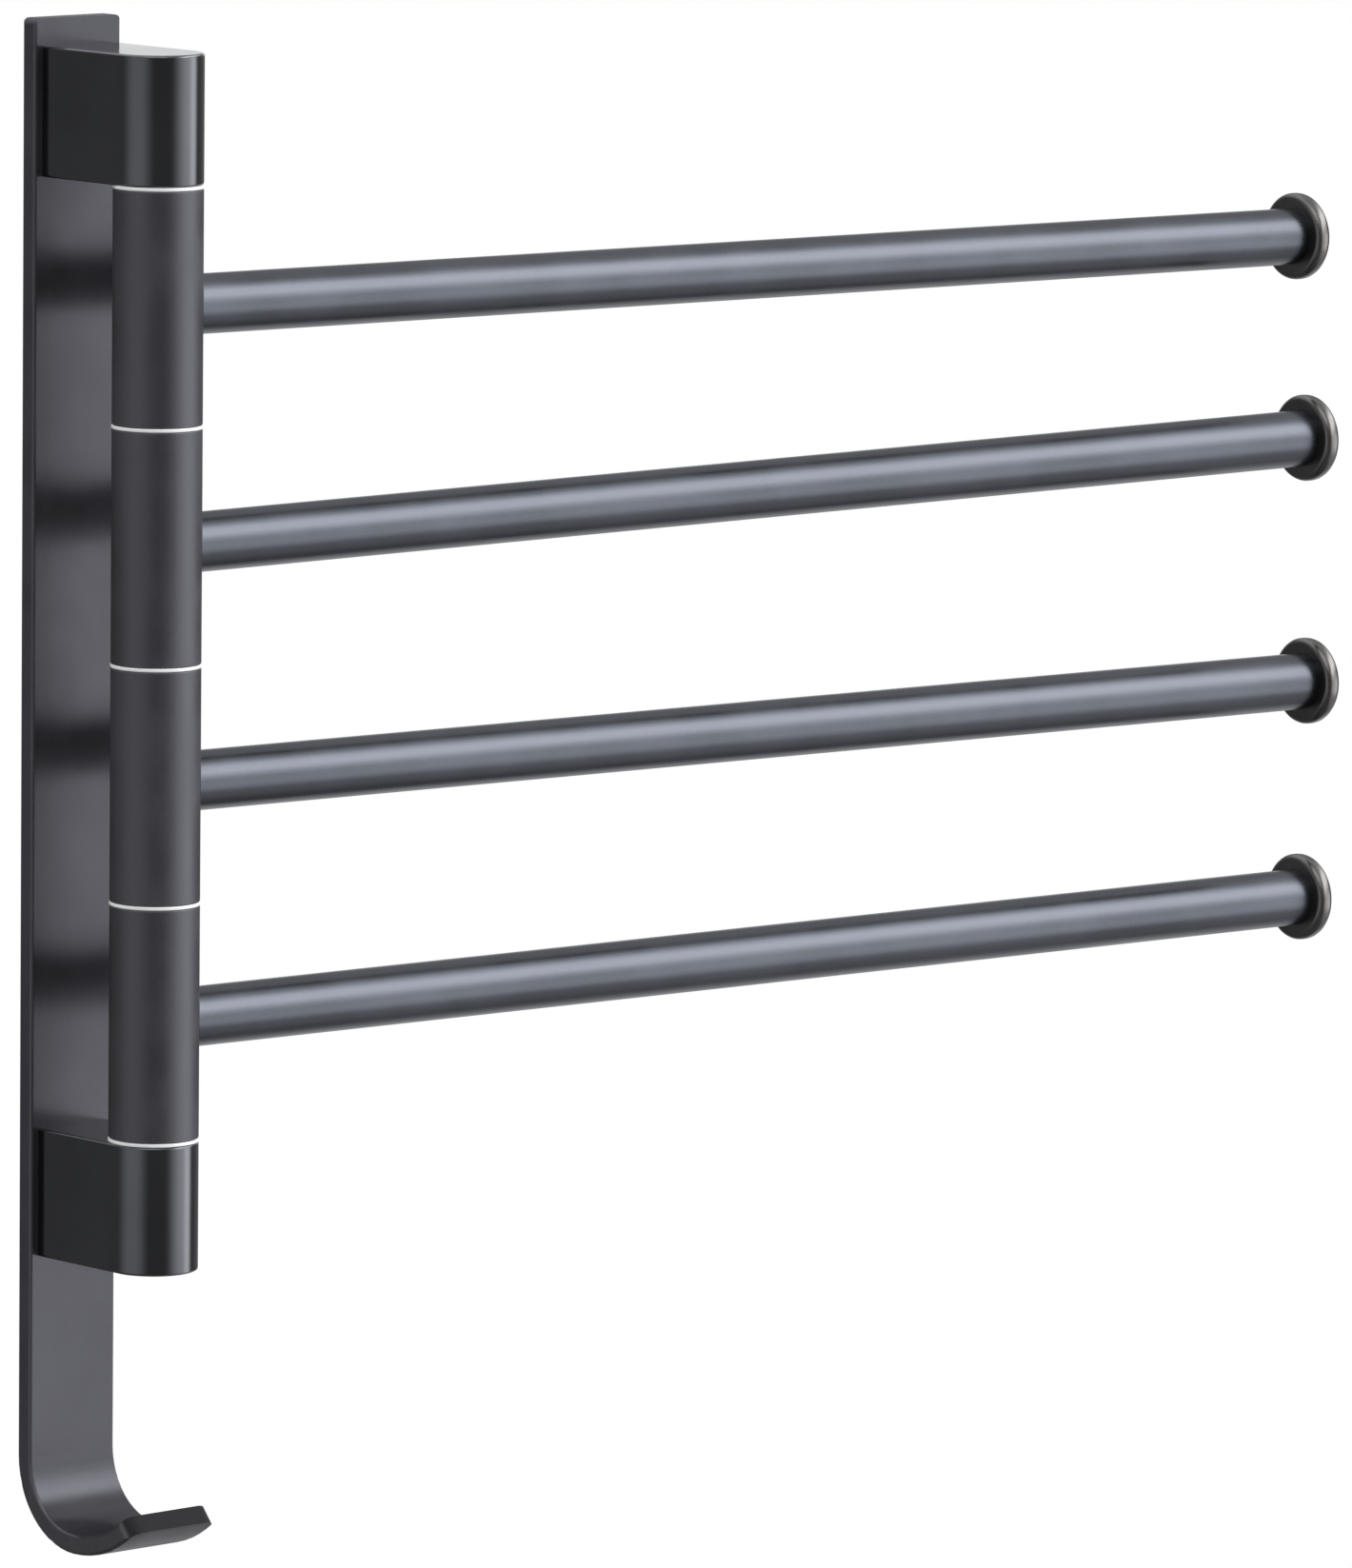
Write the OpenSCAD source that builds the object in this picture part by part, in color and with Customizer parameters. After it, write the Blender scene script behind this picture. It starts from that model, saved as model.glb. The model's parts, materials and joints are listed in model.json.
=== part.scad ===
// Wall towel rack with four swinging arms and a bent hook.
// Millimetres. +Z is up, +X runs along the wall to the right, and the wall is the plane Y = 0.
// The rack stands out from the wall towards -Y.
// The origin is on the back of the plate, midway between the two keyhole mouths.

/* [Plate] */
// Width of the strip that the plate and its hook are bent from
plate_w = 27.2; // [24:0.2:32]
// Thickness of the strip
plate_t = 5; // [4:0.25:7]
// Plate that shows above the upper bracket
plate_top = 6.8; // [4:0.2:14]
// Radius of the plate's top corners
plate_corner_r = 2; // [1:0.5:8]
// Rounding along the strip's long edges
strip_edge_r = 0.8; // [0.4:0.1:1.4]

/* [Hook] */
// How far the plate reaches below the lower bracket, to the bottom of the hook
hook_drop = 73; // [60:0.2:120]
// Outside radius of the bend that turns the strip away from the wall
hook_r = 22; // [18:0.5:32]
// Outside radius of the bend that lifts the hook's tip
tip_r = 36; // [25:1:50]
// How far the tip is lifted, in degrees
tip_angle = 41; // [20:1:60]
// Radius of the tip's corners
tip_corner_r = 3.5; // [1:0.5:5]

/* [Brackets] */
// Height of each bracket
bracket_h = 32.5; // [30:0.5:45]
// Distance from the front of the plate to the pivot axis
axis_gap = 31.5; // [28:0.5:45]
// Wall of the hollow bracket
bracket_wall = 2.2; // [1.8:0.1:2.6]
// Rounding along the bracket's outer edges
bracket_edge_r = 0.7; // [0.4:0.1:1.2]
// Metal between the pivot bolt's bore and the hollow
hub_wall = 5; // [4:0.5:6]

/* [Pivot] */
// Diameter of the pivot bolt
pivot_d = 8; // [6:0.5:9]
// Running clearance between the pivot bolt and each bush, on the radius
running_gap = 0.05; // [0.02:0.01:0.09]
// Thickness of the bright washers between the barrels
washer_t = 0.9; // [0.5:0.1:1.5]
// How far a washer stands proud of the barrels, on the radius
washer_proud = 0.1; // [0:0.05:0.4]
// Diameter of the pivot bolt's head
bolt_head_d = 13; // [11:0.5:14]
// Height of the pivot bolt's head
bolt_head_h = 6; // [4:0.5:8]
// Depth of the pivot bolt's thread in the upper bracket
bolt_grip = 22; // [14:1:25]

/* [Barrels] */
// Diameter of the barrels and of the bracket noses
barrel_d = 22.5; // [21:0.5:24]
// Height of each barrel
barrel_h = 58.5; // [50:0.1:62]
// Wall of each barrel
barrel_wall = 3; // [2.5:0.25:3.5]
// Rounding of the barrels' end edges
barrel_edge_r = 0.4; // [0.2:0.1:0.8]
// Length of each bush
bush_l = 14; // [8:1:18]

/* [Arms] */
// Distance from the pivot axis to the outer face of the end cap
arm_reach = 381; // [250:1:450]
// Outside diameter of the arm tube
tube_d = 15; // [13.5:0.5:17]
// Wall of the arm tube
tube_wall = 1.5; // [1:0.25:2]
// How far the plug at the arm's root reaches into the tube
plug_l = 22; // [18:1:40]
// Diameter of the end cap
cap_d = 23; // [20:0.5:28]
// Thickness of the end cap's disc
cap_t = 5; // [3:0.5:8]
// Rounding of the end cap's front edge
cap_edge_r = 1.2; // [0.6:0.2:1.6]
// Length of the end cap's stem inside the tube
stem_l = 16; // [8:1:30]
// Swing of the arms from the wall's outward normal towards the right, top arm first, in degrees
rest_swing = [87.4, 86.6, 86.3, 86.5]; // [-90:0.1:90]
// Rise of each arm from level, top arm first, in degrees, as the play at their roots leaves them
arm_rise = [-0.3, 0.6, -0.25, -0.1]; // [-2:0.05:2]

/* [Fixings] */
// Gap left at seats and press fits, on the radius
fit_gap = 0.05; // [0.02:0.01:0.1]
// Clearance round a screw in a plain hole, on the radius
hole_gap = 0.2; // [0.1:0.05:0.3]
// Diameter of the countersunk bracket screws
screw_d = 4; // [3:0.5:4.5]
// Length of the bracket screws
screw_l = 15; // [12:1:18]
// Metal between a screw boss and the bracket's top or underside
boss_inset = 0.65; // [0.4:0.05:1.2]
// Diameter of the screw that holds each arm to its barrel
arm_screw_d = 5; // [4:0.5:5.5]
// Diameter of the arm screw's head
arm_head_d = 8.5; // [7.5:0.25:9]
// Height of the arm screw's head
arm_head_h = 2.6; // [2:0.2:3]
// Diameter of the keyhole's mouth, which the wall screw's head passes
key_mouth_d = 9; // [8:0.5:9.5]
// Width of the keyhole's slot
key_slot_w = 4.4; // [3.5:0.1:5]
// How far the rack drops onto its wall screws
key_travel = 5.5; // [4:0.5:6]

/* [Hidden] */
$fn = 96;

// Cuts run this far past the faces that they open.
overrun = 1;
// Small pieces stop this far short of an outer face, so that nothing stands proud of it.
face_sink = 0.2;

// Colours, as the finishes look
satin_black = [0.20, 0.20, 0.22];
gloss_black = [0.10, 0.10, 0.11];
tube_grey = [0.27, 0.29, 0.32];
bright_white = [0.92, 0.92, 0.90];
steel = [0.70, 0.71, 0.73];

// The stack of barrels and washers, whose middle lies key_drop above the origin
arm_count = 4;
stack_h = arm_count * barrel_h + (arm_count + 1) * washer_t;
// The mouth's place below the bracket's middle, which centres the travel between the screw bosses
key_drop_share = 0.5;
key_drop = key_travel * key_drop_share;
stack_top_z = key_drop + stack_h / 2;
stack_bottom_z = key_drop - stack_h / 2;
upper_mid_z = stack_top_z + bracket_h / 2;
lower_mid_z = stack_bottom_z - bracket_h / 2;
plate_top_z = stack_top_z + bracket_h + plate_top;
hook_bottom_z = stack_bottom_z - bracket_h - hook_drop;

// The pivot axis, and the middle of each arm
axis_y = -plate_t - axis_gap;
function washer_z(i) = stack_top_z - (i - 1) * (barrel_h + washer_t) - washer_t / 2;
function arm_z(i) = washer_z(i) - (washer_t + barrel_h) / 2;

// Barrel, bush and tube radii
barrel_r = barrel_d / 2;
barrel_in_r = barrel_r - barrel_wall;
pivot_r = pivot_d / 2;
tube_in_r = tube_d / 2 - tube_wall;

// The bracket's hollow begins behind the hub, and its bosses take the screws.
boss_wall = 1.6;
hub_back = pivot_r + hub_wall;
boss_r = screw_d / 2 + boss_wall;
screw_off = bracket_h / 2 - boss_inset - boss_r;
boss_bore_l = screw_l - plate_t + overrun;

// The bolt's head and the spring washer share a recess in the lower bracket.
spring_t = 0.7;
spring_rise = 0.5;
recess_gap = 0.75;
head_sink = 1.5;
recess_r = bolt_head_d / 2 + recess_gap;
recess_h = head_sink + bolt_head_h + spring_t + spring_rise;

// A hexagon socket's width across corners as a share of the shank, and its depth as a share of the head
socket_w_share = 0.75;
socket_h_share = 0.6;
// The tapped hole and the screw in an arm's root plug, as shares of the plug's length
tap_share = 0.7;
grip_share = 0.6;

// A rectangle with rounded corners, centred, from squares and circles
module rounded_rect(w, h, r) {
    square([w - 2 * r, h], center = true);
    square([w, h - 2 * r], center = true);
    for (x = [-1, 1], y = [-1, 1])
        translate([x * (w / 2 - r), y * (h / 2 - r)])
            circle(r = r);
}

// The outline of a strip's free end: length l upwards from zero, with the two far corners rounded
module end_outline(l, r) {
    translate([-plate_w / 2, 0])
        square([plate_w, l - r]);
    translate([-plate_w / 2 + r, 0])
        square([plate_w - 2 * r, l]);
    for (x = [-1, 1])
        translate([x * (plate_w / 2 - r), l - r])
            circle(r = r);
}

// The straight strip along +Z whose top corners are rounded; its thickness is centred on Y
module strip_run(l) {
    intersection() {
        linear_extrude(height = l)
            rounded_rect(plate_w, plate_t, strip_edge_r);
        translate([0, plate_t, 0])
            rotate([90, 0, 0])
                linear_extrude(height = 2 * plate_t)
                    end_outline(l, plate_corner_r);
    }
}

// A bend in the strip about the X axis, from straight down towards +Y by the given angle
module strip_bend(outer_r, angle) {
    rotate([0, 90, 0])
        rotate_extrude(angle = angle)
            translate([outer_r - plate_t / 2, 0])
                rounded_rect(plate_t, plate_w, strip_edge_r);
}

// The bend that lifts the tip towards -Y, about its own centre; it is bent a little past the tip,
// and one outline then cuts the end and rounds its corners
module strip_tip() {
    spare_angle = tip_angle / 10;
    intersection() {
        mirror([0, 1, 0])
            strip_bend(tip_r, tip_angle + spare_angle);
        rotate([-tip_angle, 0, 0])
            translate([0, tip_r, -2 * tip_r])
                mirror([0, 1, 0])
                    linear_extrude(height = 2 * tip_r)
                        end_outline(tip_r, tip_corner_r);
    }
}

// A keyhole through the plate: the mouth at the origin, the slot above it
module keyhole() {
    rotate([90, 0, 0])
        translate([0, 0, -overrun])
            linear_extrude(height = plate_t + 2 * overrun) {
                circle(d = key_mouth_d);
                translate([0, key_travel])
                    circle(d = key_slot_w);
                translate([-key_slot_w / 2, 0])
                    square([key_slot_w, key_travel]);
            }
}

// A countersunk hole from the back of the plate, its head sunk below the back
module countersink() {
    rotate([90, 0, 0]) {
        translate([0, 0, -overrun])
            cylinder(r = screw_d / 2 + hole_gap, h = plate_t + 2 * overrun);
        translate([0, 0, -overrun])
            cylinder(r1 = screw_d + overrun, r2 = 0, h = screw_d + overrun);
    }
}

// Puts its children at each bracket screw
module at_screws() {
    for (z = [upper_mid_z, lower_mid_z], s = [-1, 1])
        translate([0, 0, z + s * screw_off])
            children();
}

// The strip: wall plate above, bent forward into the hook below
module backplate() {
    bend_z = hook_bottom_z + hook_r;
    color(satin_black)
        difference() {
            union() {
                translate([0, -plate_t / 2, bend_z])
                    strip_run(plate_top_z - bend_z);
                translate([0, -hook_r, bend_z])
                    strip_bend(hook_r, 90);
                translate([0, -hook_r, hook_bottom_z + tip_r])
                    strip_tip();
            }
            for (z = [upper_mid_z, lower_mid_z])
                translate([0, 0, z - key_drop])
                    keyhole();
            at_screws()
                countersink();
        }
}

// Half of the bracket's section, for turning about the pivot axis
module nose_section() {
    r = bracket_edge_r;
    translate([0, -bracket_h / 2])
        square([barrel_r - r, bracket_h]);
    translate([0, -bracket_h / 2 + r])
        square([barrel_r, bracket_h - 2 * r]);
    for (s = [-1, 1])
        translate([barrel_r - r, s * (bracket_h / 2 - r)])
            circle(r = r);
}

// A hollow bracket about the pivot axis, at its own middle height, with a round nose towards -Y
module bracket_body() {
    difference() {
        union() {
            rotate([0, 0, 180])
                rotate_extrude(angle = 180)
                    nose_section();
            rotate([-90, 0, 0])
                linear_extrude(height = axis_gap)
                    rounded_rect(barrel_d, bracket_h, bracket_edge_r);
        }
        translate([0, hub_back, 0])
            rotate([-90, 0, 0])
                linear_extrude(height = axis_gap - hub_back + overrun)
                    rounded_rect(barrel_d - 2 * bracket_wall, bracket_h - 2 * bracket_wall, bracket_wall);
    }
    for (s = [-1, 1])
        translate([0, hub_back - fit_gap, s * screw_off])
            rotate([-90, 0, 0])
                cylinder(r = boss_r, h = axis_gap - hub_back + fit_gap);
}

// The screw holes in a bracket's bosses
module boss_bores() {
    for (s = [-1, 1])
        translate([0, axis_gap + overrun, s * screw_off])
            rotate([90, 0, 0])
                cylinder(d = screw_d + 2 * fit_gap, h = boss_bore_l + overrun);
}

// The upper bracket: its bore is blind, so its top is plain
module upper_bracket() {
    color(gloss_black)
        translate([0, axis_y, upper_mid_z])
            difference() {
                bracket_body();
                boss_bores();
                translate([0, 0, -bracket_h / 2 - overrun])
                    cylinder(r = pivot_r + fit_gap, h = bolt_grip + 2 * overrun);
            }
}

// The lower bracket: the bolt goes through, and its head hides in a recess underneath
module lower_bracket() {
    color(gloss_black)
        translate([0, axis_y, lower_mid_z])
            difference() {
                bracket_body();
                boss_bores();
                translate([0, 0, -bracket_h / 2 - overrun])
                    cylinder(r = pivot_r + fit_gap, h = bracket_h + 2 * overrun);
                translate([0, 0, -bracket_h / 2 - overrun])
                    cylinder(r = recess_r, h = recess_h + overrun);
            }
}

// Four countersunk screws from behind the plate, with hexagon sockets
module bracket_screws() {
    head_r = screw_d - face_sink - fit_gap;
    color(steel)
        at_screws()
            rotate([90, 0, 0])
                difference() {
                    union() {
                        translate([0, 0, face_sink])
                            cylinder(d = screw_d, h = screw_l - face_sink);
                        translate([0, 0, face_sink])
                            cylinder(r1 = head_r, r2 = 0, h = head_r);
                    }
                    cylinder(d = screw_d * socket_w_share, h = screw_d * socket_h_share, $fn = 6);
                }
}

// The pivot bolt: a plain shank with a socket head, up through the whole stack
module pivot_bolt() {
    head_z = lower_mid_z - bracket_h / 2 + head_sink;
    shank_z = head_z + bolt_head_h;
    color(steel)
        translate([0, axis_y, 0])
            difference() {
                union() {
                    translate([0, 0, head_z])
                        cylinder(d = bolt_head_d, h = bolt_head_h);
                    translate([0, 0, shank_z])
                        cylinder(r = pivot_r, h = stack_top_z + bolt_grip - shank_z);
                }
                translate([0, 0, head_z - overrun])
                    cylinder(d = pivot_d * socket_w_share, h = bolt_head_h * socket_h_share + overrun, $fn = 6);
            }
}

// A dished spring washer that keeps the stack pressed together
module spring_washer() {
    in_r = pivot_r + hole_gap;
    out_r = bolt_head_d / 2;
    z = lower_mid_z - bracket_h / 2 + head_sink + bolt_head_h;
    color(steel)
        translate([0, axis_y, z])
            rotate_extrude()
                polygon([[in_r, 0], [out_r, spring_rise], [out_r, spring_rise + spring_t], [in_r, spring_t]]);
}

// A thin bright washer above the first barrel, between two barrels, or below the last
module washer(i) {
    color(bright_white)
        translate([0, axis_y, washer_z(i) - washer_t / 2])
            difference() {
                cylinder(r = barrel_r + washer_proud, h = washer_t);
                translate([0, 0, -overrun])
                    cylinder(r = pivot_r + running_gap, h = washer_t + 2 * overrun);
            }
}

// Puts an arm's pieces on the pivot axis at the arm's height; a level arm runs along its own +X
module on_arm(i) {
    translate([0, axis_y, arm_z(i)])
        rotate([0, 0, rest_swing[i - 1] - 90])
            children();
}

// Tilts its children by an arm's rise, about the middle of the barrel
module on_rise(i) {
    rotate([0, -arm_rise[i - 1], 0])
        children();
}

// The barrel: a round tube with a spot face and a hole inside for the arm's screw
module barrel(i) {
    e = barrel_edge_r;
    color(satin_black)
        on_arm(i)
            difference() {
                rotate_extrude() {
                    translate([barrel_in_r, -barrel_h / 2])
                        square([barrel_wall - e, barrel_h]);
                    translate([barrel_in_r, -barrel_h / 2 + e])
                        square([barrel_wall, barrel_h - 2 * e]);
                    for (s = [-1, 1])
                        translate([barrel_r - e, s * (barrel_h / 2 - e)])
                            circle(r = e);
                }
                on_rise(i)
                    rotate([0, 90, 0])
                        cylinder(r = arm_screw_d / 2 + hole_gap, h = barrel_r + overrun);
                on_rise(i)
                    rotate([0, 90, 0])
                        cylinder(r = arm_head_d / 2 + hole_gap, h = barrel_in_r);
            }
}

// A plain bush pressed into one end of a barrel; side is 1 at the top and -1 at the bottom
module bush(i, side) {
    z = side * (barrel_h / 2 - face_sink - bush_l / 2);
    color(bright_white)
        on_arm(i)
            translate([0, 0, z - bush_l / 2])
                difference() {
                    cylinder(r = barrel_in_r - fit_gap, h = bush_l);
                    translate([0, 0, -overrun])
                        cylinder(r = pivot_r + running_gap, h = bush_l + 2 * overrun);
                }
}

// What is cut from the root of an arm so that it seats round the barrel
module barrel_cut() {
    cylinder(r = barrel_r + fit_gap, h = barrel_h, center = true);
}

// The arm tube, coped to its barrel and covered by its end cap
module arm_tube(i) {
    color(tube_grey)
        on_arm(i)
            difference() {
                on_rise(i)
                    rotate([0, 90, 0])
                        cylinder(d = tube_d, h = arm_reach - cap_t);
                on_rise(i)
                    rotate([0, 90, 0])
                        cylinder(r = tube_in_r, h = arm_reach);
                barrel_cut();
            }
}

// The tapped plug in the arm's root, which the arm screw pulls against the barrel
module root_plug(i) {
    color(steel)
        on_arm(i)
            difference() {
                on_rise(i)
                    rotate([0, 90, 0])
                        cylinder(r = tube_in_r - fit_gap, h = barrel_r + plug_l);
                on_rise(i)
                    rotate([0, 90, 0])
                        cylinder(r = arm_screw_d / 2 + fit_gap, h = barrel_r + plug_l * tap_share);
                barrel_cut();
            }
}

// The arm screw: its head lies inside the barrel, clear of the pivot bolt
module arm_screw(i) {
    head_x = barrel_in_r - fit_gap - arm_head_h;
    tip_x = barrel_r + plug_l * grip_share;
    color(steel)
        on_arm(i)
            on_rise(i)
                translate([head_x, 0, 0])
                    rotate([0, 90, 0])
                        difference() {
                            union() {
                                cylinder(d = arm_head_d, h = arm_head_h);
                                cylinder(d = arm_screw_d, h = tip_x - head_x);
                            }
                            translate([0, 0, -overrun])
                                cylinder(d = arm_screw_d * socket_w_share,
                                    h = arm_head_h * socket_h_share + overrun, $fn = 6);
                        }
}

// The end cap: a disc with a rounded front edge and a stem that presses into the tube
module end_cap(i) {
    r = cap_d / 2;
    back_r = cap_edge_r / 2;
    color(gloss_black)
        on_arm(i)
            on_rise(i)
                translate([arm_reach - cap_t, 0, 0])
                    rotate([0, 90, 0]) {
                        rotate_extrude() {
                            square([r - cap_edge_r, cap_t]);
                            translate([0, back_r])
                                square([r, cap_t - cap_edge_r - back_r]);
                            translate([r - cap_edge_r, cap_t - cap_edge_r])
                                circle(r = cap_edge_r);
                            translate([r - back_r, back_r])
                                circle(r = back_r);
                        }
                        translate([0, 0, -stem_l])
                            cylinder(r = tube_in_r - fit_gap, h = stem_l + cap_t / 2);
                    }
}

backplate();
upper_bracket();
lower_bracket();
bracket_screws();
pivot_bolt();
spring_washer();
washer(1);  // washer_1
washer(2);  // washer_2
washer(3);  // washer_3
washer(4);  // washer_4
washer(5);  // washer_5
barrel(1);  // barrel_1
bush(1, 1);  // upper_bush_1
bush(1, -1);  // lower_bush_1
arm_tube(1);  // arm_tube_1
root_plug(1);  // root_plug_1
arm_screw(1);  // arm_screw_1
end_cap(1);  // end_cap_1
barrel(2);  // barrel_2
bush(2, 1);  // upper_bush_2
bush(2, -1);  // lower_bush_2
arm_tube(2);  // arm_tube_2
root_plug(2);  // root_plug_2
arm_screw(2);  // arm_screw_2
end_cap(2);  // end_cap_2
barrel(3);  // barrel_3
bush(3, 1);  // upper_bush_3
bush(3, -1);  // lower_bush_3
arm_tube(3);  // arm_tube_3
root_plug(3);  // root_plug_3
arm_screw(3);  // arm_screw_3
end_cap(3);  // end_cap_3
barrel(4);  // barrel_4
bush(4, 1);  // upper_bush_4
bush(4, -1);  // lower_bush_4
arm_tube(4);  // arm_tube_4
root_plug(4);  // root_plug_4
arm_screw(4);  // arm_screw_4
end_cap(4);  // end_cap_4
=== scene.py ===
# %% [markdown]
# # A wall rack with four swinging towel arms
#
# This lesson dresses a towel rack that is already built as exact solids: a flat strip whose foot
# is bent into a hook, two hollow brackets, a stack of four barrels on one long bolt, and an arm
# in each barrel. The solids give every size. Here they get a camera, a white ground, light, their
# finishes and the small turned parts that are better made by a rule.
#
# Everything is in metres. The wall is the plane Y = 0, the rack stands out towards -Y, and
# +X runs along the wall to the right.

# %% Load the solids
import json
import math

import bpy
from mathutils import Matrix, Vector


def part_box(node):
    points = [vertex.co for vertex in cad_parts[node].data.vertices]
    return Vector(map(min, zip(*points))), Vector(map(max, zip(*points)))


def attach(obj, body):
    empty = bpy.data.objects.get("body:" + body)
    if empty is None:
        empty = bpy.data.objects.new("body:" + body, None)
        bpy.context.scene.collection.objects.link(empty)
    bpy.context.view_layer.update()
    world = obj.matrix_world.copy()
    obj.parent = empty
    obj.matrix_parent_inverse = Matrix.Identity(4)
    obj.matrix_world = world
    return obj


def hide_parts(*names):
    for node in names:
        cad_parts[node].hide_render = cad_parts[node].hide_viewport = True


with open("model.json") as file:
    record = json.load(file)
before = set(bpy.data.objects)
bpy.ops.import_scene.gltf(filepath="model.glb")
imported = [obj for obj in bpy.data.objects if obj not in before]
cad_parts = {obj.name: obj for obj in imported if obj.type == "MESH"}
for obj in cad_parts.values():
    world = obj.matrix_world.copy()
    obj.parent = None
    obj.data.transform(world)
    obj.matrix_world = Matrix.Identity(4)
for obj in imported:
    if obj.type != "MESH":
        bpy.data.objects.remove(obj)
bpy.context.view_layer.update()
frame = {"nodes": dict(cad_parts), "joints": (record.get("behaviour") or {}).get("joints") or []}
nodes = frame["nodes"]


def middle_height(node):
    """The height of the middle of a solid."""
    low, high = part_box(node)
    return (low.z + high.z) / 2


# %% The hinges and the places along the stack
hinges = {int(joint["name"][-1]): joint for joint in frame["joints"]}
AXIS_Y = hinges[1]["pos_m"][1]
ARM_HEIGHTS = {i: hinge["pos_m"][2] for i, hinge in hinges.items()}
REST_SWING = {i: 90 - hinge["range_deg"][1] for i, hinge in hinges.items()}
BRACKET_MIDDLES = {name: middle_height(name) for name in ("upper_bracket", "lower_bracket")}
RINGS = (1, 2, 3, 4, 5)
print("axis at Y", AXIS_Y, "arms at", ARM_HEIGHTS, "swing at rest", REST_SWING)

# %% [markdown]
# ## The camera
#
# A product photo of a tall, thin rack is taken from far away with a long lens, so that the four
# arms stay nearly parallel. The angles and the lens come from a fit of the rack's outline to
# the picture. The camera is placed by a matrix made of its own right, up and back directions,
# because two angles and a roll are easier to think about than three Euler angles.

# %% Camera
IMAGE_HEIGHT = 1647
SENSOR = 36.0
camera_azimuth = math.radians(-42.0)
camera_elevation = math.radians(7.984)
camera_roll = math.radians(0.647)
camera_distance = 2.8476
focal_pixels = 12704.6
CLIP_END = 200.0
look_at = Vector((-0.002215, -0.231673, -0.00496))

level = math.cos(camera_elevation)
back = Vector((math.sin(camera_azimuth) * level, -math.cos(camera_azimuth) * level,
               math.sin(camera_elevation)))
right = (-back).cross(Vector((0, 0, 1))).normalized()
up = right.cross(-back)
right_rolled = math.cos(camera_roll) * right + math.sin(camera_roll) * up
up_rolled = -math.sin(camera_roll) * right + math.cos(camera_roll) * up

camera = bpy.data.objects.new("camera", bpy.data.cameras.new("camera"))
bpy.context.scene.collection.objects.link(camera)
placed = Matrix((right_rolled, up_rolled, back)).transposed().to_4x4()
placed.translation = look_at + back * camera_distance
camera.matrix_world = placed
camera.data.sensor_width = SENSOR
camera.data.lens = focal_pixels / IMAGE_HEIGHT * SENSOR
camera.data.clip_end = CLIP_END
bpy.context.scene.camera = camera
print("camera at", [round(v, 3) for v in placed.translation], "lens", round(camera.data.lens, 1))

# %% [markdown]
# ## Small helpers for node trees
#
# Materials and geometry trees are both made of nodes and wires. Three helpers keep the code
# short: put adds a node with its choices, feed gives a socket a number or a wire, and calc does
# one step of arithmetic. The others build on these three.

# %% Node helpers
def put(tree, kind, **choices):
    """Adds a node and sets its choices."""
    node = tree.nodes.new(kind)
    for name, value in choices.items():
        setattr(node, name, value)
    return node


def feed(tree, socket, source):
    """Wires a socket to another one, or sets its value."""
    if isinstance(source, bpy.types.NodeSocket):
        tree.links.new(source, socket)
    else:
        socket.default_value = source


def calc(tree, operation, *terms, clamp=False):
    """Adds one step of arithmetic and returns its result."""
    node = put(tree, "ShaderNodeMath", operation=operation, use_clamp=clamp)
    for socket, term in zip(node.inputs, terms):
        feed(tree, socket, term)
    return node.outputs[0]


# %% Helpers that build on them
def fade(tree, value, low, high, at_low=0.0, at_high=1.0):
    """A smooth step between two values."""
    node = put(tree, "ShaderNodeMapRange", interpolation_type="SMOOTHSTEP")
    for socket, term in zip(node.inputs, (value, low, high, at_low, at_high)):
        feed(tree, socket, term)
    return node.outputs[0]


def scaled(tree, vector, factors):
    """Multiplies a vector by another, part by part."""
    node = put(tree, "ShaderNodeVectorMath", operation="MULTIPLY")
    feed(tree, node.inputs[0], vector)
    feed(tree, node.inputs[1], factors)
    return node.outputs[0]


def blend_colours(tree, share, first, second):
    """Mixes two colours by a share from 0 to 1."""
    node = put(tree, "ShaderNodeMix", data_type="RGBA")
    feed(tree, node.inputs[0], share)
    feed(tree, node.inputs[6], first)
    feed(tree, node.inputs[7], second)
    return node.outputs[2]


def noise(tree, vector, scale, detail=2.0, roughness=0.5):
    """Adds a noise texture and returns its value."""
    node = put(tree, "ShaderNodeTexNoise")
    feed(tree, node.inputs["Vector"], vector)
    feed(tree, node.inputs["Scale"], scale)
    feed(tree, node.inputs["Detail"], detail)
    feed(tree, node.inputs["Roughness"], roughness)
    return node.outputs[0]


def named_group(name, takes, gives):
    """Starts a shader group with named inputs and outputs."""
    group = bpy.data.node_groups.new(name, "ShaderNodeTree")
    for label, kind, value in takes:
        socket = group.interface.new_socket(label, in_out="INPUT", socket_type=kind)
        if value is not None:
            socket.default_value = value
    for label in gives:
        group.interface.new_socket(label, in_out="OUTPUT", socket_type="NodeSocketFloat")
    return group, put(group, "NodeGroupInput").outputs, put(group, "NodeGroupOutput").inputs


# %% [markdown]
# ## The white ground
#
# The rack is photographed against plain white, and no shadow touches it. A pale floor lies far
# below, where it catches no shadow. It glows for the camera alone: for all other rays it is
# missing, or its white would light every black part from below.
# A white backdrop close to the rack would do as well, but would have to move with the camera.

# %% Floor
FLOOR_DROP = -4.5
FLOOR_REACH = 120.0
PAPER_WHITE = (0.9, 0.9, 0.9, 1)
floor_mesh = bpy.data.meshes.new("floor")
floor_corners = [(-1, -1), (1, -1), (1, 1), (-1, 1)]
floor_mesh.from_pydata([(x * FLOOR_REACH, y * FLOOR_REACH, FLOOR_DROP) for x, y in floor_corners],
                       [], [(0, 1, 2, 3)])
floor = bpy.data.objects.new("floor", floor_mesh)
bpy.context.scene.collection.objects.link(floor)

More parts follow.
